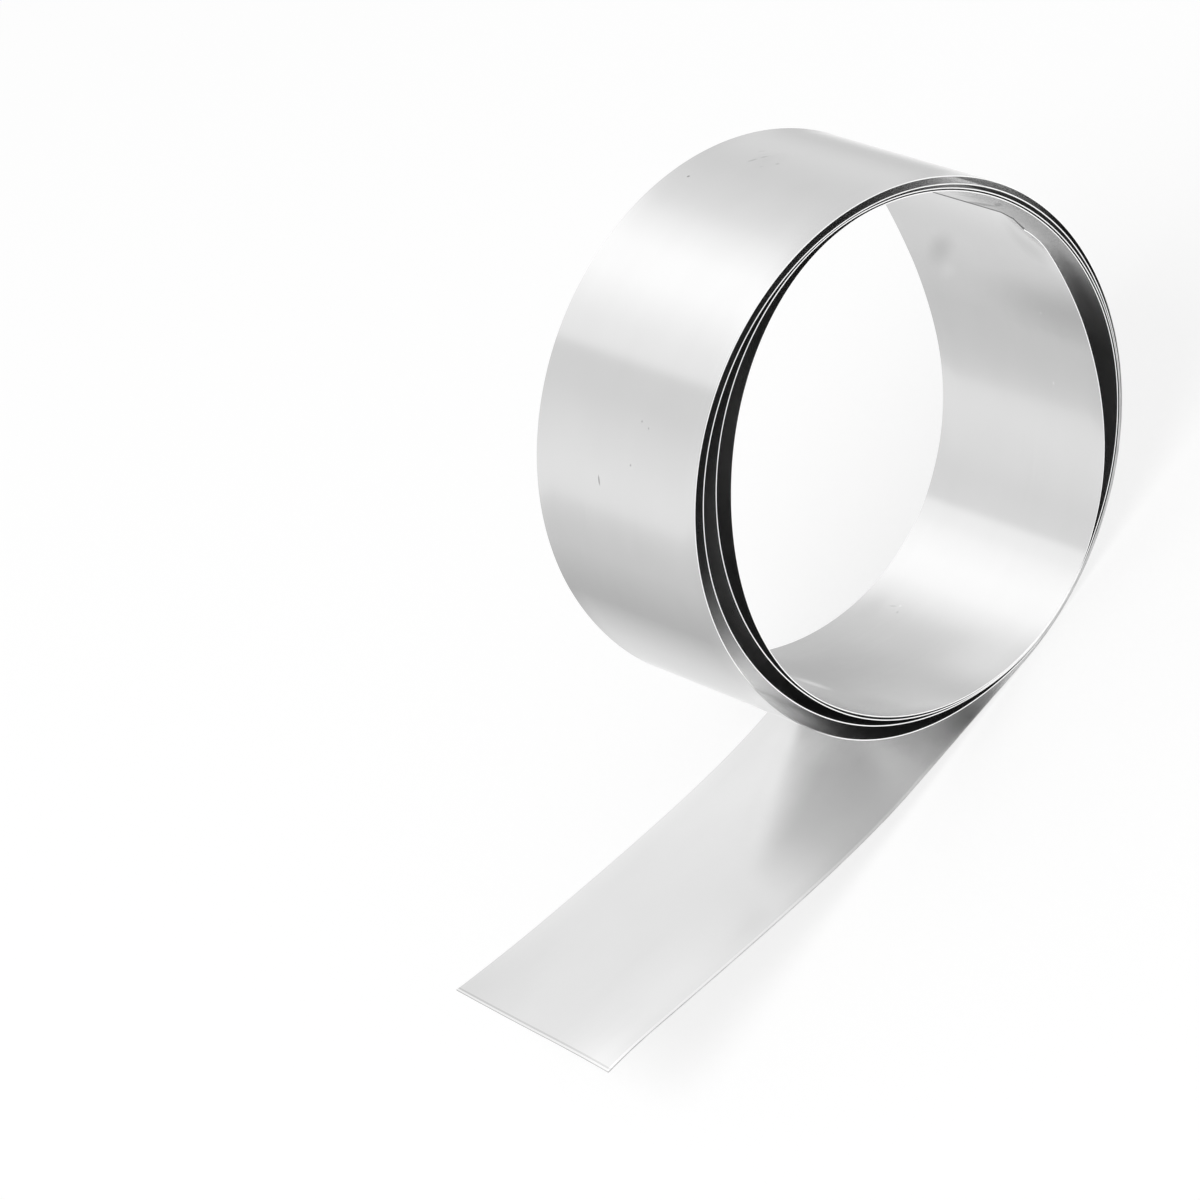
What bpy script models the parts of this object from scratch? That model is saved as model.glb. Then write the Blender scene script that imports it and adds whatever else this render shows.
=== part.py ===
"""Stainless steel foil roll.

One bare strip of spring-hard foil, wound on itself into a loose open coil with
nothing in the bore. Its outer end runs out as a free tail. The coil lies on the
floor as it comes to rest by itself. Metres, +Z up. The coil's axis lies along Y,
the tail runs towards -X, and the floor is z = 0.
"""

import math

import bmesh
import bpy
from mathutils import Matrix, Vector

# The strip
STRIP_WIDTH = 0.050
STRIP_THICKNESS = 0.0002
TAIL_LENGTH = 0.130

# The coil, measured over its outermost turn. Seen from -Y, the strip winds inward
# anticlockwise.
COIL_DIAMETER = 0.1214
TURNS = 4.256
TOUCHING_CLEARANCE = 0.00006

# Where the tail leaves the coil: degrees before the place where all turns touch
TAIL_LEAD = 19.0

# The tail runs straight off the coil, then bends up a little and runs on almost
# straight. The bend fades out over the curl's length.
TAIL_STRAIGHT = 0.038
TAIL_CURL_DEGREES = 10.8
TAIL_CURL_LENGTH = 0.0225

# The loose turns spring apart. Each hollow is (depth, opens, deepest, closes), in
# metres and in degrees round the turn from the place where all turns touch. Hollows
# in one list add up. The first list is how far the outermost turn is pulled in from
# a true circle. The others are the gaps between one turn and the next, from the
# outside in.
OUTER_TURN_HOLLOWS = [(0.00393, 76.0, 251.0, 341.0), (0.00095, 287.0, 327.0, 355.0)]
FIRST_GAP = [(0.00302, 154.0, 285.0, 351.0), (0.00147, 20.0, 137.0, 275.0)]
SECOND_GAP = [(0.00357, 140.0, 236.0, 335.0), (0.00077, 43.0, 93.0, 166.0)]
THIRD_GAP = [
    (0.00364, 133.0, 208.0, 283.0),
    (0.00034, 0.0, 15.0, 360.0),
    (0.00042, 260.0, 298.0, 341.0),
]
FOURTH_GAP = [(0.0057, 0.0, 57.0, 125.0)]

# Mesh steps
STEPS_PER_TURN = 90
TAIL_STEPS = 24

STEEL_COLOUR = (0.60, 0.60, 0.60, 1.0)


def clear_scene():
    for item in list(bpy.data.objects):
        bpy.data.objects.remove(item, do_unlink=True)


def hollow_at(angle, hollow):
    """How deep a hollow is at this angle: it swells and closes with no kink."""
    depth, opens, deepest, closes = hollow
    if angle <= opens or angle >= closes:
        return 0.0
    if angle < deepest:
        share = (angle - opens) / (deepest - opens)
    else:
        share = (closes - angle) / (closes - deepest)
    return depth * math.sin(share * math.pi / 2) ** 2


def coil_radius(wound):
    """Radius of the strip's middle after this many degrees of winding inward."""
    turn, angle = divmod(wound, 360.0)
    touching_pitch = STRIP_THICKNESS + TOUCHING_CLEARANCE
    radius = (COIL_DIAMETER - STRIP_THICKNESS) / 2 - touching_pitch * wound / 360.0
    layers = [OUTER_TURN_HOLLOWS, FIRST_GAP, SECOND_GAP, THIRD_GAP, FOURTH_GAP]
    for layer in layers[: int(turn) + 1]:
        radius -= sum(hollow_at(angle, hollow) for hollow in layer)
    return radius


def coil_point(wound):
    """A point on the strip's middle. The strip leaves the coil from a true circle."""
    bearing = math.radians(wound)
    return Vector((math.cos(bearing), math.sin(bearing))) * coil_radius(max(wound, 0.0))


def coil_path():
    """Points on the strip's middle from the tail's root to the inner end."""
    step = 360.0 / STEPS_PER_TURN
    first = 1 - math.ceil(TAIL_LEAD / step)
    last = round(TURNS * STEPS_PER_TURN)
    stations = [-TAIL_LEAD] + [index * step for index in range(first, last + 1)]
    return [coil_point(wound) for wound in stations]


def tail_path(root):
    """Points on the strip's middle from the tail's free end back to its root."""
    leaving = math.radians(-TAIL_LEAD - 90.0)
    stride = TAIL_LENGTH / TAIL_STEPS
    points = [root]
    for index in range(TAIL_STEPS):
        past_straight = max((index + 0.5) * stride - TAIL_STRAIGHT, 0.0)
        bent = 1.0 - math.exp(-past_straight / TAIL_CURL_LENGTH)
        heading = leaving - math.radians(TAIL_CURL_DEGREES) * bent
        direction = Vector((math.cos(heading), math.sin(heading)))
        points.append(points[-1] + direction * stride)
    return points[:0:-1]


def strip_path():
    coil = coil_path()
    return tail_path(coil[0]) + coil


def side_normals(path):
    """For each point, the offset direction to the strip's outer face, lengthened at
    a bend so that the strip keeps its thickness."""
    normals = []
    for index, point in enumerate(path):
        before = point - path[max(index - 1, 0)]
        after = path[min(index + 1, len(path) - 1)] - point
        steps = [step.normalized() for step in (before, after) if step.length > 0]
        middle = (steps[0] + steps[-1]).normalized()
        normals.append(Vector((middle.y, -middle.x)) / middle.dot(steps[0]))
    return normals


def balance_point(path):
    """Centre of mass of the strip, which has the same section all along."""
    total = Vector((0.0, 0.0))
    length = 0.0
    for start, end in zip(path, path[1:]):
        piece = (end - start).length
        total += (start + end) / 2 * piece
        length += piece
    return total / length


def resting_turn(outer, balance):
    """The turn, in radians, that brings the roll to rest: the flat nearest the
    balance point, and straight under it, meets the floor. That flat lies on the
    tail or on the half turn next to it."""
    outside = outer[: TAIL_STEPS + STEPS_PER_TURN // 2]
    lowest = math.inf
    turn = 0.0
    for start, end in zip(outside, outside[1:]):
        flat = end - start
        reach = balance - start
        along = reach.dot(flat) / flat.length_squared
        height = abs(flat.cross(reach)) / flat.length
        if 0.0 <= along <= 1.0 and height < lowest:
            lowest = height
            turn = -math.atan2(flat.y, flat.x)
    return turn


def laid_down(points, turn):
    spin = Matrix.Rotation(turn, 2)
    return [spin @ point for point in points]


def strip_mesh(outer, inner, width):
    """A closed solid between the two faces of the strip, from edge to edge."""
    mesh = bpy.data.meshes.new("foil_strip")
    build = bmesh.new()
    rings = []
    for out, into in zip(outer, inner):
        corners = [(out, -1), (out, 1), (into, 1), (into, -1)]
        rings.append([build.verts.new((p.x, side * width / 2, p.y)) for p, side in corners])
    for ring, following in zip(rings, rings[1:]):
        for corner in range(4):
            other = (corner + 1) % 4
            quad = (ring[corner], following[corner], following[other], ring[other])
            face = build.faces.new(quad)
            face.smooth = corner in (0, 2)
    build.faces.new(rings[0])
    build.faces.new(rings[-1][::-1])
    bmesh.ops.recalc_face_normals(build, faces=build.faces)
    for edge in build.edges:
        edge.smooth = all(face.smooth for face in edge.link_faces)
    build.to_mesh(mesh)
    build.free()
    return mesh


def steel_material():
    material = bpy.data.materials.new("stainless_foil")
    material.use_nodes = True
    shader = material.node_tree.nodes["Principled BSDF"]
    shader.inputs["Base Color"].default_value = STEEL_COLOUR
    shader.inputs["Metallic"].default_value = 1.0
    shader.inputs["Roughness"].default_value = 0.22
    return material


def build_foil_strip():
    path = strip_path()
    half = STRIP_THICKNESS / 2
    normals = side_normals(path)
    outer = [point + normal * half for point, normal in zip(path, normals)]
    inner = [point - normal * half for point, normal in zip(path, normals)]
    turn = resting_turn(outer, balance_point(path))
    outer = laid_down(outer, turn)
    inner = laid_down(inner, turn)
    left = min(point.x for point in outer + inner)
    right = max(point.x for point in outer + inner)
    floor = min(point.y for point in outer + inner)
    shift = Vector((-(left + right) / 2, -floor))
    outer = [point + shift for point in outer]
    inner = [point + shift for point in inner]
    strip = bpy.data.objects.new("foil_strip", strip_mesh(outer, inner, STRIP_WIDTH))
    strip.data.materials.append(steel_material())
    bpy.context.scene.collection.objects.link(strip)


clear_scene()
build_foil_strip()
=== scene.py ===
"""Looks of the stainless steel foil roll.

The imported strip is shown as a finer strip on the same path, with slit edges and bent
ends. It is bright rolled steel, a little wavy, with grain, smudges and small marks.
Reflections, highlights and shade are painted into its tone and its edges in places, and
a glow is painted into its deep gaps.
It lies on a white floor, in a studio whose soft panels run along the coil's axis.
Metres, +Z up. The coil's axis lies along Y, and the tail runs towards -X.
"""

import math

import bmesh
import bpy
from mathutils import Matrix, Vector


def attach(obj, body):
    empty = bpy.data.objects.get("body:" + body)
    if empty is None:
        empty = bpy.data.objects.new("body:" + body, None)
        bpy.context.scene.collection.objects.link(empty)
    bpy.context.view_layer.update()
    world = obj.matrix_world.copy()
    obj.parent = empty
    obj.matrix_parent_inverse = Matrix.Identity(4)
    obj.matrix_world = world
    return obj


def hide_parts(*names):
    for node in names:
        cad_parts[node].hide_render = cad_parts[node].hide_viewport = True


# The strip and its coil, as in the part's source
STRIP_WIDTH = 0.050
STRIP_THICKNESS = 0.0002
TAIL_LENGTH = 0.130
COIL_DIAMETER = 0.1214
TURNS = 4.256
TOUCHING_CLEARANCE = 0.00006
TAIL_LEAD = 19.0
TAIL_STRAIGHT = 0.038
TAIL_CURL_DEGREES = 10.8
TAIL_CURL_LENGTH = 0.0225

# Hollows: (depth, opens, deepest, closes), in metres and in degrees round the turn
OUTER_TURN_HOLLOWS = [(0.00393, 76.0, 251.0, 341.0), (0.00095, 287.0, 327.0, 355.0)]
FIRST_GAP = [(0.00302, 154.0, 285.0, 351.0), (0.00147, 20.0, 137.0, 275.0)]
SECOND_GAP = [(0.00357, 140.0, 236.0, 335.0), (0.00077, 43.0, 93.0, 166.0)]
THIRD_GAP = [
    (0.00364, 133.0, 208.0, 283.0),
    (0.00034, 0.0, 15.0, 360.0),
    (0.00042, 260.0, 298.0, 341.0),
]
FOURTH_GAP = [(0.0057, 0.0, 57.0, 125.0)]

# How the coil lies, as the part's source works it out: its turn round Y in degrees, and
# its centre (x, z)
RESTING_TURN = -76.0
COIL_CENTRE = (0.035992, 0.060723)

# Mesh steps. A face of the strip has one span more at each edge, where its burr rises.
STEPS_PER_TURN = 240
TAIL_STEPS = 72
STEPS_ACROSS = 12
EDGE_STEPS = 3
SPANS_OF_A_FACE = STEPS_ACROSS + 2

# The slit edges of the strip have a fine burr on both faces, and are slightly rounded
EDGE_ROUNDING = 0.00005
BURR_HEIGHT = 0.000025
BURR_WIDTH = 0.0002

# Handling has bent both ends. The tail's near corner droops and its far corner lifts,
# its cut is a little askew, and the cut left a fine lip.
TAIL_CORNER_DROOP = 0.0008
TAIL_CORNER_REACH = (0.014, 0.022)
FAR_CORNER_LIFT = 0.0008
FAR_CORNER_REACH = (0.030, 0.035)
CUT_SKEW = 0.0008
CUT_SKEW_REACH = 0.012
CUT_LIP = 0.00004
CUT_LIP_REACH = 0.0008
CUT_LIP_STEPS = (0.0002, 0.0004, 0.0006, 0.0009)

# The inner end springs out towards the turn round it, less along its near edge, whose
# corner curls in. Before the end, the strip's far side dips into the bore.
INNER_END_SPRING = 0.00175
INNER_END_REACH = 0.024
INNER_END_DIP = 0.0006
INNER_DIP_REACH = (0.056, 0.028)
NEAR_EDGE_SHARE = 0.45
NEAR_EDGE_WIDTH = 0.009
CORNER_CURL = 0.00125
CORNER_CURL_REACH = (0.008, 0.009)
CORNER_CURL_POWER = 1.5

# The UV map is in metres along and across the strip. The inner face has its own place in
# it, this far off across the strip, and so has the inner cut, this far past the end.
UV_MAP = "strip"
INNER_FACE_SHIFT = 0.1
INNER_CUT_SHIFT = 0.02

# Material slots of the strip
FACE_SLOT = 0
EDGE_SLOT = 1

# Camera: where it stands, what it looks at, and its roll against upright, in degrees
CAMERA_PLACE = (-0.32634, -0.86057, 0.82351)
CAMERA_AIM = (-0.01993, 0.01507, 0.06900)
CAMERA_ROLL = -39.4086
CAMERA_LENS = 174.37
CAMERA_CLIP = (0.01, 50.0)
SENSOR_WIDTH = 36.0

# Noise on the strip: (length of a grain, its width, detail, seed)
ROLLING_GRAIN = (0.016, 0.00022, 3.0, 1.0)
STREAK_GRAIN = (0.060, 0.0011, 2.0, 5.0)
MOTTLE_GRAIN = (0.014, 0.010, 3.0, 9.0)
WAVE_GRAIN = (0.050, 0.070, 0.0, 13.0)
PATCH_GRAIN = (0.0050, 0.0040, 3.0, 17.0)
NICK_GRAIN = (0.0035, 0.0100, 3.0, 21.0)

# Steel: its roughness, how far each noise changes its tone, roughness and height, and
# its highlights, which a quarter turn stretches across the rolling grain
STEEL_ROUGHNESS = 0.18
STREAK_ROUGHNESS = 0.03
MOTTLE_ROUGHNESS = 0.05
STREAK_TONE = 0.02
MOTTLE_TONE = 0.04
ROLLING_HEIGHT = 0.0000004
STREAK_HEIGHT = 0.000001
WAVE_HEIGHT = 0.00006
STEEL_ANISOTROPY = 0.80
QUARTER_TURN = 0.25

# Ramps along the strip are this long. The tones in them are stops of (metres along the
# strip from the tail's free end, tone).
RAMP_LENGTH = 1.7

# How light the steel is, along the strip. The bands lighter and darker than its own tone
# of about 0.77 are painted reflections and painted shade.
STEEL_TONES_WITH_PAINTED_REFLECTIONS = [
    (0.06, 0.85),
    (0.135, 0.78),
    (0.215, 0.78),
    (0.23, 0.62),
    (0.252, 0.66),
    (0.259, 0.78),
    (0.267, 0.75),
    (0.273, 0.69),
    (0.28, 0.77),
    (0.328, 0.81),
    (0.348, 0.79),
    (0.393, 0.77),
    (0.4, 0.705),
    (0.407, 0.64),
    (0.414, 0.77),
    (0.432, 0.8),
    (0.438, 0.96),
    (0.446, 0.95),
    (0.452, 0.84),
    (0.47, 0.78),
    (0.485, 0.76),
    (1.52, 0.76),
    (1.535, 0.7),
    (1.552, 0.71),
    (1.565, 0.78),
    (1.585, 0.86),
    (1.598, 0.79),
    (1.612, 0.75),
    (1.632, 0.76),
    (1.643, 0.88),
    (1.652, 0.98),
    (1.668, 0.99),
]

# Marks and smudges, and painted highlights, reflections and shade: (along and across in
# the UV map, half length, half width, turn in degrees, patchiness, change in tone). A mark
# fades out towards its rim, and one that isn't patchy is even over this share of its radius.
MARK_CORE = 0.4
MARKS_AND_PAINTED_LIGHT = [
    # Specks, scratches and a smudge outside the outermost turn
    (0.3593, -0.0065, 0.00035, 0.00030, 0.0, 0.0, -0.18),
    (0.3602, -0.0088, 0.00035, 0.00030, 0.0, 0.0, -0.15),
    (0.3687, -0.0048, 0.00040, 0.00035, 0.0, 0.0, -0.18),
    (0.3054, 0.0197, 0.00045, 0.00045, 0.0, 0.0, -0.35),
    (0.3742, 0.0049, 0.00140, 0.00032, -10.0, 0.0, -0.36),
    (0.2945, 0.0117, 0.00140, 0.00045, 20.0, 0.0, -0.13),
    (0.2921, 0.0108, 0.00100, 0.00040, 25.0, 0.0, -0.12),
    (0.2901, 0.0138, 0.00100, 0.00040, 45.0, 0.0, -0.07),
    (0.2932, 0.0054, 0.00060, 0.00045, 45.0, 0.0, -0.13),
    (0.2958, 0.0074, 0.00050, 0.00040, 45.0, 0.0, -0.07),
    (0.2924, 0.0093, 0.00550, 0.00450, 20.0, 1.2, -0.04),
    # Smudges, streaks and specks in the bore, then a painted glint and patches of painted
    # reflection and painted shade
    (1.6378, 0.0877, 0.00040, 0.00025, 0.0, 0.0, 0.14),
    (1.6200, 0.0892, 0.00060, 0.00020, 0.0, 0.0, 0.12),
    (1.5583, 0.1202, 0.00650, 0.00500, 0.0, 0.8, -0.03),
    (1.5594, 0.1155, 0.00120, 0.00025, -72.0, 0.0, -0.09),
    (1.5583, 0.1130, 0.00045, 0.00035, 0.0, 0.0, -0.10),
    (1.5601, 0.1138, 0.00040, 0.00030, 0.0, 0.0, 0.08),
    # A painted glint
    (1.5224, 0.1011, 0.00750, 0.00220, -85.0, 0.1, 0.30),
    # Patches and streaks of painted reflection and painted shade on the bore
    (1.5280, 0.1080, 0.02200, 0.03400, 0.0, 0.1, -0.23),
    (1.6489, 0.1130, 0.01100, 0.00380, -47.0, 0.1, -0.15),
    (1.6422, 0.1141, 0.00600, 0.00240, -52.0, 0.1, 0.05),
    (1.6402, 0.0790, 0.01100, 0.03200, 0.0, 0.1, -0.19),
    (1.5525, 0.0800, 0.01100, 0.02000, 0.0, 0.1, 0.13),
    (1.6620, 0.0790, 0.01000, 0.00900, 0.0, 0.0, -0.13),
    # Painted shadow: dark lines behind the inner end
    (1.3224, 0.1055, 0.00750, 0.00110, -85.0, 0.0, -0.46),
    (1.3244, 0.0935, 0.00850, 0.00090, -74.0, 0.0, -0.36),
    (1.3286, 0.0842, 0.00500, 0.00090, -53.0, 0.0, -0.32),
    (1.3286, 0.0920, 0.00950, 0.00060, -73.0, 0.0, -0.12),
    # The tail's upper face: a painted shade line and a painted highlight along its cut, a
    # painted highlight along its near edge, and broad patches of painted reflection and
    # painted shade
    (0.0008, 0.1000, 0.00034, 0.06000, 0.0, 0.0, -0.15),
    (0.0003, 0.1000, 0.00035, 0.06000, 0.0, 0.0, 0.22),
    (0.0650, 0.0754, 0.15000, 0.00050, 0.0, 0.0, 0.16),
    (0.0000, 0.1250, 0.02600, 0.02200, 0.0, 0.1, -0.05),
    (0.0300, 0.0780, 0.06500, 0.02000, 0.0, 0.1, 0.06),
    (0.0950, 0.1270, 0.03000, 0.02400, 0.0, 0.1, -0.13),
    (0.0830, 0.1045, 0.02800, 0.00750, 25.0, 0.1, 0.17),
    (0.1100, 0.0775, 0.00850, 0.01100, 0.0, 0.1, -0.30),
    (0.0940, 0.1050, 0.00800, 0.01300, 0.0, 0.1, 0.12),
    # A painted highlight: a light streak in the outermost gap
    (0.4545, 0.0967, 0.01050, 0.00100, 67.0, 0.1, 0.14),
]

# Slit edges: their roughness, how far nicks change their tone, and how light they are,
# along the strip. How light they are is painted light and painted shade: white where the
# rims shine, and greyer where the rims and the cuts are shaded.
EDGE_ROUGHNESS = 0.35
NICK_TONE = 0.50
EDGE_TONES_WITH_PAINTED_LIGHT_AND_SHADE = [
    (0.0, 0.50),
    (0.140, 0.55),
    (0.195, 0.58),
    (0.225, 1.0),
    (0.415, 1.0),
    (0.420, 0.40),
    (0.441, 0.40),
    (0.446, 1.0),
    (0.495, 1.0),
    (0.510, 0.55),
    (0.568, 0.58),
    (0.590, 1.0),
    (0.855, 1.0),
    (0.870, 0.58),
    (0.928, 0.60),
    (0.950, 1.0),
    (1.674, 1.0),
    (1.680, 0.30),
]

# Painted light left in the gaps, a glow of the steel itself, seen by a ray whose count of
# mirror bounces is past this. Its stops are (degrees from the turn's start, strength). A
# gap's light is on the inner face of the turn outside it and on the outer face of the turn
# inside it.
FOUR_BOUNCES = 3.5
FIRST_GAP_LIGHT = [
    (74.0, 0.01),
    (79.0, 0.015),
    (85.0, 0.6),
    (91.4, 1.5),
    (97.6, 0.3),
    (104.0, 0.14),
    (116.0, 0.07),
    (134.0, 0.02),
    (225.0, 0.01),
    (243.0, 0.01),
    (257.0, 0.12),
    (268.0, 0.28),
    (285.0, 0.5),
    (299.0, 1.0),
    (307.0, 0.005),
]
SECOND_GAP_OUTER_LIGHT = [(90.0, 0.03), (96.0, 0.35), (104.0, 0.35), (110.0, 0.008)]
SECOND_GAP_INNER_LIGHT = [
    (90.0, 0.02),
    (96.0, 0.35),
    (104.0, 0.35),
    (110.0, 0.006),
    (300.0, 0.002),
]
FOURTH_GAP_LIGHT = [(0.0, 0.015), (62.0, 0.015), (74.0, 0.22), (80.0, 0.7), (90.0, 1.3)]
PAST_INNER_END_LIGHT = [(97.0, 0.02)]

# The same between the tail and the coil's outside. On the tail its stops are (metres
# along the strip, strength).
TAIL_LIGHT = [(0.118, 0.25), (0.124, 0.8), (0.145, 0.8), (0.152, 0.02)]
OUTSIDE_LIGHT = [
    (275.0, 0.02),
    (288.0, 0.25),
    (332.0, 0.25),
    (340.0, 0.8),
    (352.0, 0.8),
    (358.0, 0.02),
]

# Studio seen by the steel: (degrees round the coil's axis, strength). 0 is +X, 90 is
# up, and a strength of 1 is the white of the background. The front panels take over
# from the back panels where a direction's Y goes from the first of these to the second.
FRONT_FADE = (0.1, -0.2)
BACK_PANELS = [
    (-180.0, 0.86),
    (-169.0, 0.76),
    (-160.0, 0.73),
    (-150.0, 0.69),
    (-140.0, 0.65),
    (-132.0, 0.62),
    (-120.0, 0.75),
    (-111.0, 0.81),
    (-101.0, 0.86),
    (-91.0, 0.88),
    (-80.0, 1.02),
    (-64.0, 0.99),
    (-54.0, 1.33),
    (-45.0, 1.00),
    (-36.0, 0.72),
    (-25.0, 0.73),
    (-15.0, 0.85),
    (-5.0, 0.84),
    (5.0, 0.79),
    (14.0, 0.77),
    (24.0, 0.81),
    (34.0, 0.85),
    (44.0, 0.92),
    (54.0, 1.09),
    (68.0, 1.23),
    (83.0, 1.22),
    (103.0, 1.04),
    (114.0, 1.00),
    (118.0, 0.80),
    (132.0, 0.81),
    (147.0, 0.89),
    (166.0, 0.97),
]
FRONT_PANELS = [
    (-180.0, 0.55),
    (-134.0, 0.35),
    (-112.0, 1.12),
    (-24.0, 1.12),
    (8.0, 0.80),
    (38.0, 0.87),
    (62.0, 1.10),
    (92.0, 1.00),
    (113.0, 0.60),
    (128.0, 0.45),
    (152.0, 0.50),
    (180.0, 0.55),
]

# The white that the camera sees, the world's light on all but the steel, the floor with
# what tops it up to white for the camera, and the lamp
WHITE = (1.0, 1.0, 1.0, 1.0)
WORLD_LEVEL = 0.6
FLOOR_SIZE = 12.0
FLOOR_SHADE = 0.45
FLOOR_ROUGHNESS = 0.9
FLOOR_TOP_UP = 0.64
LAMP_PLACE = (-0.9, -0.3, 1.6)
LAMP_AIM = (0.0, 0.0, 0.0)
LAMP_SIZE = 1.2
LAMP_WATTS = 9.0


def hollow_at(angle, hollow):
    """How deep a hollow is at this angle: it swells and closes with no kink."""
    depth, opens, deepest, closes = hollow
    if angle <= opens or angle >= closes:
        return 0.0
    if angle < deepest:
        share = (angle - opens) / (deepest - opens)
    else:
        share = (closes - angle) / (closes - deepest)
    return depth * math.sin(share * math.pi / 2) ** 2


def coil_radius(wound):
    """Radius of the strip's middle after this many degrees of winding inward."""
    turn, angle = divmod(wound, 360.0)
    touching_pitch = STRIP_THICKNESS + TOUCHING_CLEARANCE
    radius = (COIL_DIAMETER - STRIP_THICKNESS) / 2 - touching_pitch * wound / 360.0
    layers = [OUTER_TURN_HOLLOWS, FIRST_GAP, SECOND_GAP, THIRD_GAP, FOURTH_GAP]
    for layer in layers[: int(turn) + 1]:
        radius -= sum(hollow_at(angle, hollow) for hollow in layer)
    return radius


def coil_point(wound):
    """A point on the strip's middle. The strip leaves the coil from a true circle."""
    bearing = math.radians(wound)
    return Vector((math.cos(bearing), math.sin(bearing))) * coil_radius(max(wound, 0.0))


def coil_path():
    """Points on the strip's middle from the tail's root to the inner end."""
    step = 360.0 / STEPS_PER_TURN
    first = 1 - math.ceil(TAIL_LEAD / step)
    last = round(TURNS * STEPS_PER_TURN)
    stations = [-TAIL_LEAD] + [index * step for index in range(first, last + 1)]
    return [coil_point(wound) for wound in stations]


def tail_path(root):
    """Points on the strip's middle from the tail's free end back to its root."""
    leaving = math.radians(-TAIL_LEAD - 90.0)
    stride = TAIL_LENGTH / TAIL_STEPS
    points = [root]
    for index in range(TAIL_STEPS):
        past_straight = max((index + 0.5) * stride - TAIL_STRAIGHT, 0.0)
        bent = 1.0 - math.exp(-past_straight / TAIL_CURL_LENGTH)
        heading = leaving - math.radians(TAIL_CURL_DEGREES) * bent
        direction = Vector((math.cos(heading), math.sin(heading)))
        points.append(points[-1] + direction * stride)
    return points[:0:-1]


def strip_path():
    """The middle of the strip, laid down as it rests, as (x, z) points."""
    coil = coil_path()
    path = tail_path(coil[0]) + coil
    first_step = path[1] - path[0]
    lip = [path[0] + first_step.normalized() * step for step in CUT_LIP_STEPS]
    path[1:1] = lip
    spin = Matrix.Rotation(math.radians(RESTING_TURN), 2)
    return [spin @ point + Vector(COIL_CENTRE) for point in path]


def face_normals(path):
    """For each point, the direction to the strip's outer face."""
    normals = []
    for index in range(len(path)):
        chord = path[min(index + 1, len(path) - 1)] - path[max(index - 1, 0)]
        normals.append(Vector((chord.y, -chord.x)).normalized())
    return normals


def lengths_along(path):
    """For each point, the length of strip from the tail's free end."""
    along = [0.0]
    for start, end in zip(path, path[1:]):
        along.append(along[-1] + (end - start).length)
    return along


def strip_section():
    """The strip's section as (across, out) points, going round it from one edge of
    its outer face."""
    half = STRIP_WIDTH / 2
    thick = STRIP_THICKNESS / 2
    edge_thick = thick + BURR_HEIGHT
    flat = half - EDGE_ROUNDING
    inside = flat - BURR_WIDTH
    face = [(-flat, edge_thick)]
    for step in range(STEPS_ACROSS + 1):
        face.append((inside * (2.0 * step / STEPS_ACROSS - 1.0), thick))
    face.append((flat, edge_thick))
    corner = edge_thick - EDGE_ROUNDING
    near_edge = []
    for step in range(1, EDGE_STEPS + 1):
        angle = math.pi / 2 * step / (EDGE_STEPS + 1)
        across = flat + EDGE_ROUNDING * math.sin(angle)
        near_edge.append((across, corner + EDGE_ROUNDING * math.cos(angle)))
    side = near_edge + [(across, -out) for across, out in reversed(near_edge)]
    section = face + side
    section += [(across, -out) for across, out in reversed(face)]
    section += [(-across, out) for across, out in reversed(side)]
    return section


def eased(share):
    """A smooth rise from 0 to 1."""
    share = min(max(share, 0.0), 1.0)
    return share * share * (3.0 - 2.0 * share)


def faded(distance, reach):
    """1 here, and 0 from this reach on."""
    return 1.0 - min(distance / reach, 1.0)


def tail_bend(along, inset):
    """How far outward the tail is bent, this far along it and in from its near edge."""
    from_far = STRIP_WIDTH - inset
    droop = (faded(along, TAIL_CORNER_REACH[0]) * faded(inset, TAIL_CORNER_REACH[1])) ** 2
    lift = (faded(along, FAR_CORNER_REACH[0]) * faded(from_far, FAR_CORNER_REACH[1])) ** 2
    lip = faded(along, CUT_LIP_REACH) ** 2
    return TAIL_CORNER_DROOP * droop - FAR_CORNER_LIFT * lift - CUT_LIP * lip


def inner_end_bend(to_end, inset):
    """How far outward the inner end is bent, this far before it and in from its near
    edge."""
    far_share = inset / STRIP_WIDTH
    dip = far_share * eased((INNER_DIP_REACH[0] - to_end) / INNER_DIP_REACH[1])
    behind_edge = 1.0 - faded(inset, NEAR_EDGE_WIDTH) ** 2
    spring_share = NEAR_EDGE_SHARE + (1.0 - NEAR_EDGE_SHARE) * behind_edge
    spring = (INNER_END_SPRING + INNER_END_DIP * far_share) * spring_share
    spring *= faded(to_end, INNER_END_REACH) ** 2
    curl = faded(to_end, CORNER_CURL_REACH[0]) ** CORNER_CURL_POWER
    curl *= faded(inset, CORNER_CURL_REACH[1]) ** 2
    return spring - INNER_END_DIP * dip - CORNER_CURL * curl


def cut_askew(along, across):
    """How far a point near the tail's free end is moved towards the coil."""
    return CUT_SKEW * (across / STRIP_WIDTH + 0.5) * faded(along, CUT_SKEW_REACH)


def section_rings(build, path, along):
    """The strip's vertices: a ring of them round its section at each point."""
    section = strip_section()
    rings = []
    for point, normal, length in zip(path, face_normals(path), along):
        onward = Vector((-normal.y, normal.x))
        ring = []
        for across, out in section:
            inset = across + STRIP_WIDTH / 2
            bend = tail_bend(length, inset) + inner_end_bend(along[-1] - length, inset)
            place = point + normal * (out + bend) + onward * cut_askew(length, across)
            ring.append(build.verts.new((place.x, across, place.y)))
        rings.append(ring)
    return rings


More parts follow.
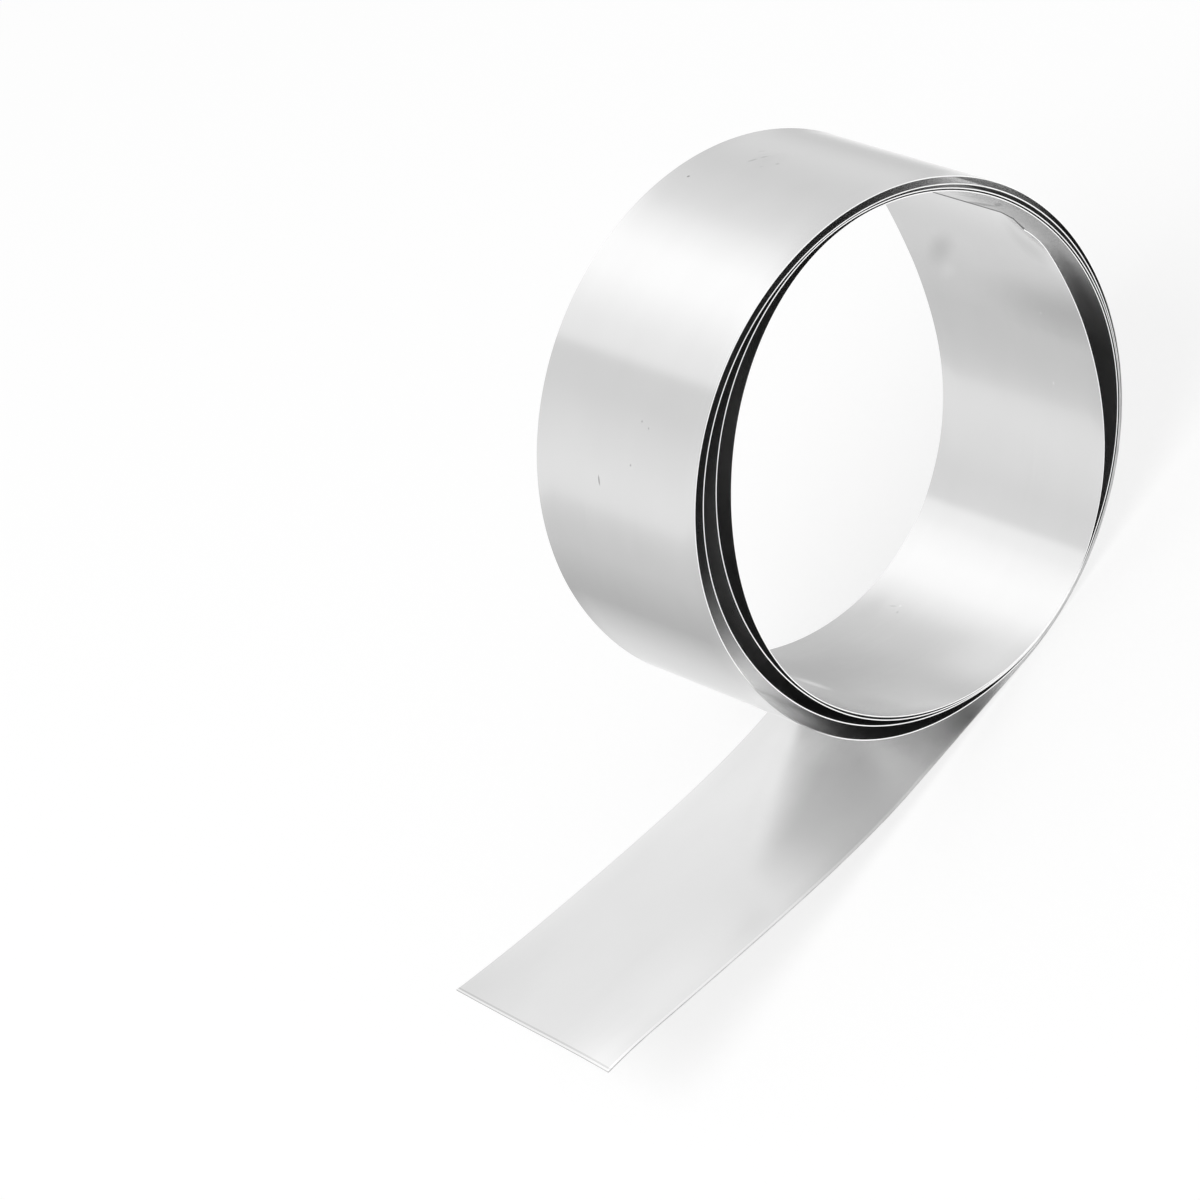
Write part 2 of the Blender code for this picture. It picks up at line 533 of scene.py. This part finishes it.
def skin_rings(build, unwrapped, rings, along):
    """The strip's long faces, from each ring to the next."""
    count = len(rings[0])
    for index in range(len(rings) - 1):
        ring = rings[index]
        onward = rings[index + 1]
        lengths = (along[index], along[index + 1], along[index + 1], along[index])
        for corner in range(count):
            other = (corner + 1) % count
            face = build.faces.new((ring[corner], onward[corner], onward[other], ring[other]))
            face.smooth = True
            side, span = divmod(corner, count // 2)
            face.material_index = FACE_SLOT if span < SPANS_OF_A_FACE else EDGE_SLOT
            for loop, length in zip(face.loops, lengths):
                loop[unwrapped].uv = (length, loop.vert.co.y + side * INNER_FACE_SHIFT)


def cap_with(build, unwrapped, ring, length):
    """A cut across the strip, whose place along it in the UV map is this length."""
    cap = build.faces.new(ring)
    cap.material_index = EDGE_SLOT
    for loop in cap.loops:
        loop[unwrapped].uv = (length, loop.vert.co.y)
    for edge in cap.edges:
        edge.smooth = False


def strip_mesh():
    """The strip as a closed solid, with its UV map."""
    path = strip_path()
    along = lengths_along(path)
    build = bmesh.new()
    unwrapped = build.loops.layers.uv.new(UV_MAP)
    rings = section_rings(build, path, along)
    skin_rings(build, unwrapped, rings, along)
    cap_with(build, unwrapped, rings[0], 0.0)
    cap_with(build, unwrapped, rings[-1][::-1], along[-1] + INNER_CUT_SHIFT)
    bmesh.ops.recalc_face_normals(build, faces=build.faces)
    mesh = bpy.data.meshes.new("foil_strip_finished")
    build.to_mesh(mesh)
    build.free()
    return mesh


def length_at(wound):
    """Length of strip from the tail's free end to this many degrees of winding."""
    span = wound + TAIL_LEAD
    chords = math.ceil(span * STEPS_PER_TURN / 360.0)
    points = [coil_point(span * index / chords - TAIL_LEAD) for index in range(chords + 1)]
    return TAIL_LENGTH + lengths_along(points)[-1]


def stops_on(turn, stops):
    """A turn's stops of (degrees, value), as (metres along the strip, value)."""
    return [(length_at(turn * 360.0 + angle), value) for angle, value in stops]


def outer_face_light():
    """Stops of the light left in the gaps, along the strip's outer face."""
    light = stops_on(0, OUTSIDE_LIGHT) + stops_on(1, FIRST_GAP_LIGHT)
    return light + stops_on(2, SECOND_GAP_OUTER_LIGHT) + stops_on(4, FOURTH_GAP_LIGHT)


def inner_face_light():
    """Stops of the light left in the gaps, along the strip's inner face."""
    light = TAIL_LIGHT + stops_on(0, FIRST_GAP_LIGHT)
    light += stops_on(1, SECOND_GAP_INNER_LIGHT)
    return light + stops_on(3, FOURTH_GAP_LIGHT + PAST_INNER_END_LIGHT)


def new_material(name):
    material = bpy.data.materials.new(name)
    material.use_nodes = True
    return material, material.node_tree


def feed(tree, socket, value):
    """Sets a socket to a value, or links another node's output to it."""
    if isinstance(value, bpy.types.NodeSocket):
        tree.links.new(value, socket)
    else:
        socket.default_value = value


def reckon(tree, operation, *values):
    """A maths node's output."""
    node = tree.nodes.new("ShaderNodeMath")
    node.operation = operation
    for socket, value in zip(node.inputs, values):
        feed(tree, socket, value)
    return node.outputs[0]


def blend(tree, factor, start, end):
    """From the start colour, where the factor is 0, to the end colour, where it is 1."""
    node = tree.nodes.new("ShaderNodeMix")
    node.data_type = "RGBA"
    feed(tree, node.inputs["Factor"], factor)
    feed(tree, node.inputs["A"], start)
    feed(tree, node.inputs["B"], end)
    return node.outputs["Result"]


def rise(tree, value, start, end):
    """A map range node that goes from 0, at the start value, to 1, at the end value."""
    node = tree.nodes.new("ShaderNodeMapRange")
    tree.links.new(value, node.inputs["Value"])
    node.inputs["From Min"].default_value = start
    node.inputs["From Max"].default_value = end
    return node


def grey(value):
    return (value, value, value, 1.0)


def ramp_through(tree, share, stops, start, end):
    """A grey value through stops of (place, value). The share is 0 at the start place
    and 1 at the end place."""
    ramp = tree.nodes.new("ShaderNodeValToRGB")
    tree.links.new(share, ramp.inputs["Fac"])
    elements = ramp.color_ramp.elements
    while len(elements) > 1:
        elements.remove(elements[-1])
    for index, (place, value) in enumerate(stops):
        position = (place - start) / (end - start)
        element = elements.new(position) if index else elements[0]
        element.position = position
        element.color = grey(value)
    return ramp.outputs["Color"]


def ramp_along(tree, along, stops):
    """A grey value that changes along the strip."""
    share = reckon(tree, "DIVIDE", along, RAMP_LENGTH)
    return ramp_through(tree, share, stops, 0.0, RAMP_LENGTH)


def grain(tree, spot, size):
    """Noise about 0. The size is a grain's length and width, the detail and the seed."""
    length, width, detail, seed = size
    stretch = tree.nodes.new("ShaderNodeVectorMath")
    stretch.operation = "MULTIPLY_ADD"
    tree.links.new(spot, stretch.inputs[0])
    stretch.inputs[1].default_value = (1.0 / length, 1.0 / width, 0.0)
    stretch.inputs[2].default_value = (0.0, 0.0, seed)
    noise = tree.nodes.new("ShaderNodeTexNoise")
    tree.links.new(stretch.outputs[0], noise.inputs["Vector"])
    noise.inputs["Scale"].default_value = 1.0
    noise.inputs["Detail"].default_value = detail
    return reckon(tree, "SUBTRACT", noise.outputs["Fac"], 0.5)


def varied(tree, value, *noises):
    """The value plus each noise times its share."""
    for noise, share in noises:
        value = reckon(tree, "MULTIPLY_ADD", noise, share, value)
    return value


def strip_place(tree):
    """A spot's place in the strip's UV map, as a vector and as its coordinates."""
    place = tree.nodes.new("ShaderNodeUVMap")
    place.uv_map = UV_MAP
    axes = tree.nodes.new("ShaderNodeSeparateXYZ")
    tree.links.new(place.outputs[0], axes.inputs[0])
    return place.outputs[0], axes.outputs


def painted_light_left_in_gaps(tree, axes):
    """A painted glow in the steel, standing in for the light that further mirror bounces
    would bring out of a deep gap. Only a ray that has already made four of them sees it."""
    rays = tree.nodes.new("ShaderNodeLightPath")
    spent = reckon(tree, "GREATER_THAN", rays.outputs["Glossy Depth"], FOUR_BOUNCES)
    inside = reckon(tree, "GREATER_THAN", axes["Y"], INNER_FACE_SHIFT / 2)
    outer = ramp_along(tree, axes["X"], outer_face_light())
    inner = ramp_along(tree, axes["X"], inner_face_light())
    return reckon(tree, "MULTIPLY", spent, blend(tree, inside, outer, inner))


def distance_from(tree, spot, middle, radii, turn):
    """Distance from the middle of a turned ellipse, where its rim is at 1."""
    place = tree.nodes.new("ShaderNodeMapping")
    place.vector_type = "TEXTURE"
    tree.links.new(spot, place.inputs["Vector"])
    place.inputs["Location"].default_value = (*middle, 0.0)
    place.inputs["Rotation"].default_value = (0.0, 0.0, math.radians(turn))
    place.inputs["Scale"].default_value = (*radii, 1.0)
    reach = tree.nodes.new("ShaderNodeVectorMath")
    reach.operation = "LENGTH"
    tree.links.new(place.outputs[0], reach.inputs[0])
    return reach.outputs["Value"]


def with_marks_and_painted_light(tree, spot, tone):
    """The tone with the marks, and the painted highlights, reflections and shade, on it."""
    patches = grain(tree, spot, PATCH_GRAIN)
    for along, across, half_length, half_width, turn, patchiness, change in MARKS_AND_PAINTED_LIGHT:
        radii = (half_length, half_width)
        distance = distance_from(tree, spot, (along, across), radii, turn)
        core = MARK_CORE
        if patchiness:
            distance = varied(tree, distance, (patches, patchiness))
            core = 0.0
        mark = rise(tree, distance, 1.0, core)
        mark.interpolation_type = "SMOOTHSTEP"
        mark.inputs["To Max"].default_value = change
        tone = reckon(tree, "ADD", tone, mark.outputs[0])
    return tone


def bare_metal(tree, tone):
    """The tree's shader, made a metal of this tone."""
    shader = tree.nodes["Principled BSDF"]
    shader.inputs["Metallic"].default_value = 1.0
    colour = tree.nodes.new("ShaderNodeCombineColor")
    for channel in ("Red", "Green", "Blue"):
        tree.links.new(tone, colour.inputs[channel])
    tree.links.new(colour.outputs[0], shader.inputs["Base Color"])
    return shader


def stretch_highlights(tree, shader):
    """Stretches the shader's highlights across the strip, as rolled metal does."""
    tangent = tree.nodes.new("ShaderNodeTangent")
    tangent.direction_type = "UV_MAP"
    tangent.uv_map = UV_MAP
    tree.links.new(tangent.outputs[0], shader.inputs["Tangent"])
    shader.inputs["Anisotropic"].default_value = STEEL_ANISOTROPY
    shader.inputs["Anisotropic Rotation"].default_value = QUARTER_TURN


def raise_surface(tree, shader, height):
    """Gives the shader's surface this height, in metres."""
    bump = tree.nodes.new("ShaderNodeBump")
    bump.inputs["Distance"].default_value = 1.0
    tree.links.new(height, bump.inputs["Height"])
    tree.links.new(bump.outputs[0], shader.inputs["Normal"])


def steel_material():
    material, tree = new_material("rolled_steel")
    material.cycles.emission_sampling = "NONE"
    spot, axes = strip_place(tree)
    rolling = grain(tree, spot, ROLLING_GRAIN)
    streaks = grain(tree, spot, STREAK_GRAIN)
    mottle = grain(tree, spot, MOTTLE_GRAIN)
    waves = grain(tree, spot, WAVE_GRAIN)
    # The steel's tone along the strip, with painted reflections and painted shade in it
    tone = ramp_along(tree, axes["X"], STEEL_TONES_WITH_PAINTED_REFLECTIONS)
    tone = varied(tree, tone, (streaks, STREAK_TONE), (mottle, MOTTLE_TONE))
    shader = bare_metal(tree, with_marks_and_painted_light(tree, spot, tone))
    rough = ((mottle, MOTTLE_ROUGHNESS), (streaks, STREAK_ROUGHNESS))
    tree.links.new(varied(tree, STEEL_ROUGHNESS, *rough), shader.inputs["Roughness"])
    relief = ((rolling, ROLLING_HEIGHT), (streaks, STREAK_HEIGHT), (waves, WAVE_HEIGHT))
    raise_surface(tree, shader, varied(tree, 0.0, *relief))
    stretch_highlights(tree, shader)
    shader.inputs["Emission Color"].default_value = WHITE
    # The steel's painted glow in its gaps, given as emission
    light = painted_light_left_in_gaps(tree, axes)
    tree.links.new(light, shader.inputs["Emission Strength"])
    return material


def edge_material():
    material, tree = new_material("slit_edge")
    spot, axes = strip_place(tree)
    nicks = grain(tree, spot, NICK_GRAIN)
    # The edge's tone along the strip is painted light and painted shade
    tone = varied(tree, ramp_along(tree, axes["X"], EDGE_TONES_WITH_PAINTED_LIGHT_AND_SHADE), (nicks, NICK_TONE))
    shader = bare_metal(tree, tone)
    shader.inputs["Roughness"].default_value = EDGE_ROUGHNESS
    return material


def build_strip():
    strip = bpy.data.objects.new("foil_strip_finished", strip_mesh())
    strip.data.materials.append(steel_material())
    strip.data.materials.append(edge_material())
    bpy.context.scene.collection.objects.link(strip)
    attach(strip, "root")
    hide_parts("foil_strip")


def floor_material():
    material, tree = new_material("white_floor")
    sockets = tree.nodes["Principled BSDF"].inputs
    sockets["Base Color"].default_value = grey(FLOOR_SHADE)
    sockets["Roughness"].default_value = FLOOR_ROUGHNESS
    sockets["Specular IOR Level"].default_value = 0.0
    sockets["Emission Color"].default_value = WHITE
    rays = tree.nodes.new("ShaderNodeLightPath")
    top_up = reckon(tree, "MULTIPLY", rays.outputs["Is Camera Ray"], FLOOR_TOP_UP)
    tree.links.new(top_up, sockets["Emission Strength"])
    return material


def build_floor():
    mesh = bpy.data.meshes.new("floor")
    build = bmesh.new()
    bmesh.ops.create_grid(build, x_segments=1, y_segments=1, size=FLOOR_SIZE / 2)
    build.to_mesh(mesh)
    build.free()
    mesh.materials.append(floor_material())
    floor = bpy.data.objects.new("floor", mesh)
    floor.visible_glossy = False
    bpy.context.scene.collection.objects.link(floor)


def build_world():
    """The studio for the steel, a plain level for the rest, and white for the camera."""
    world = bpy.data.worlds.new("studio")
    bpy.context.scene.world = world
    world.use_nodes = True
    tree = world.node_tree
    direction = tree.nodes.new("ShaderNodeTexCoord")
    axes = tree.nodes.new("ShaderNodeSeparateXYZ")
    tree.links.new(direction.outputs["Generated"], axes.inputs[0])
    bearing = reckon(tree, "ARCTAN2", axes.outputs["Z"], axes.outputs["X"])
    share = rise(tree, bearing, -math.pi, math.pi).outputs[0]
    back = ramp_through(tree, share, BACK_PANELS, -180.0, 180.0)
    front = ramp_through(tree, share, FRONT_PANELS, -180.0, 180.0)
    frontward = rise(tree, axes.outputs["Y"], *FRONT_FADE).outputs[0]
    studio = blend(tree, frontward, back, front)
    rays = tree.nodes.new("ShaderNodeLightPath")
    lit = blend(tree, rays.outputs["Is Glossy Ray"], grey(WORLD_LEVEL), studio)
    seen = blend(tree, rays.outputs["Is Camera Ray"], lit, WHITE)
    tree.links.new(seen, tree.nodes["Background"].inputs["Color"])


def add_aimed(name, data, place, aim, roll=0.0):
    """A lamp or a camera, turned to its aim and rolled by these degrees from upright."""
    sight = Vector(aim) - Vector(place)
    upright = sight.to_track_quat("-Z", "Y").to_matrix()
    rolled = upright @ Matrix.Rotation(math.radians(roll), 3, "Z")
    holder = bpy.data.objects.new(name, data)
    holder.matrix_world = Matrix.Translation(Vector(place)) @ rolled.to_4x4()
    bpy.context.scene.collection.objects.link(holder)
    return holder


def build_lamp():
    data = bpy.data.lights.new("soft_lamp", "AREA")
    data.shape = "DISK"
    data.size = LAMP_SIZE
    data.energy = LAMP_WATTS
    lamp = add_aimed("soft_lamp", data, LAMP_PLACE, LAMP_AIM)
    lamp.visible_glossy = False


def build_camera():
    data = bpy.data.cameras.new("camera")
    data.sensor_width = SENSOR_WIDTH
    data.lens = CAMERA_LENS
    data.clip_start, data.clip_end = CAMERA_CLIP
    camera = add_aimed("camera", data, CAMERA_PLACE, CAMERA_AIM, CAMERA_ROLL)
    bpy.context.scene.camera = camera


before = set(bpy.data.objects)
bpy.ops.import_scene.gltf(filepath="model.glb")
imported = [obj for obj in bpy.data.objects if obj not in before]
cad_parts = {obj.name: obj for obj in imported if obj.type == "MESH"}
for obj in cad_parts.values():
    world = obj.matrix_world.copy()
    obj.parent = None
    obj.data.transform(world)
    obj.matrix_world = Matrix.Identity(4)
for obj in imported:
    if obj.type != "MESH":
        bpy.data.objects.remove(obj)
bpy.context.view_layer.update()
bpy.context.scene.view_settings.view_transform = "Standard"
build_strip()
build_floor()
build_world()
build_lamp()
build_camera()
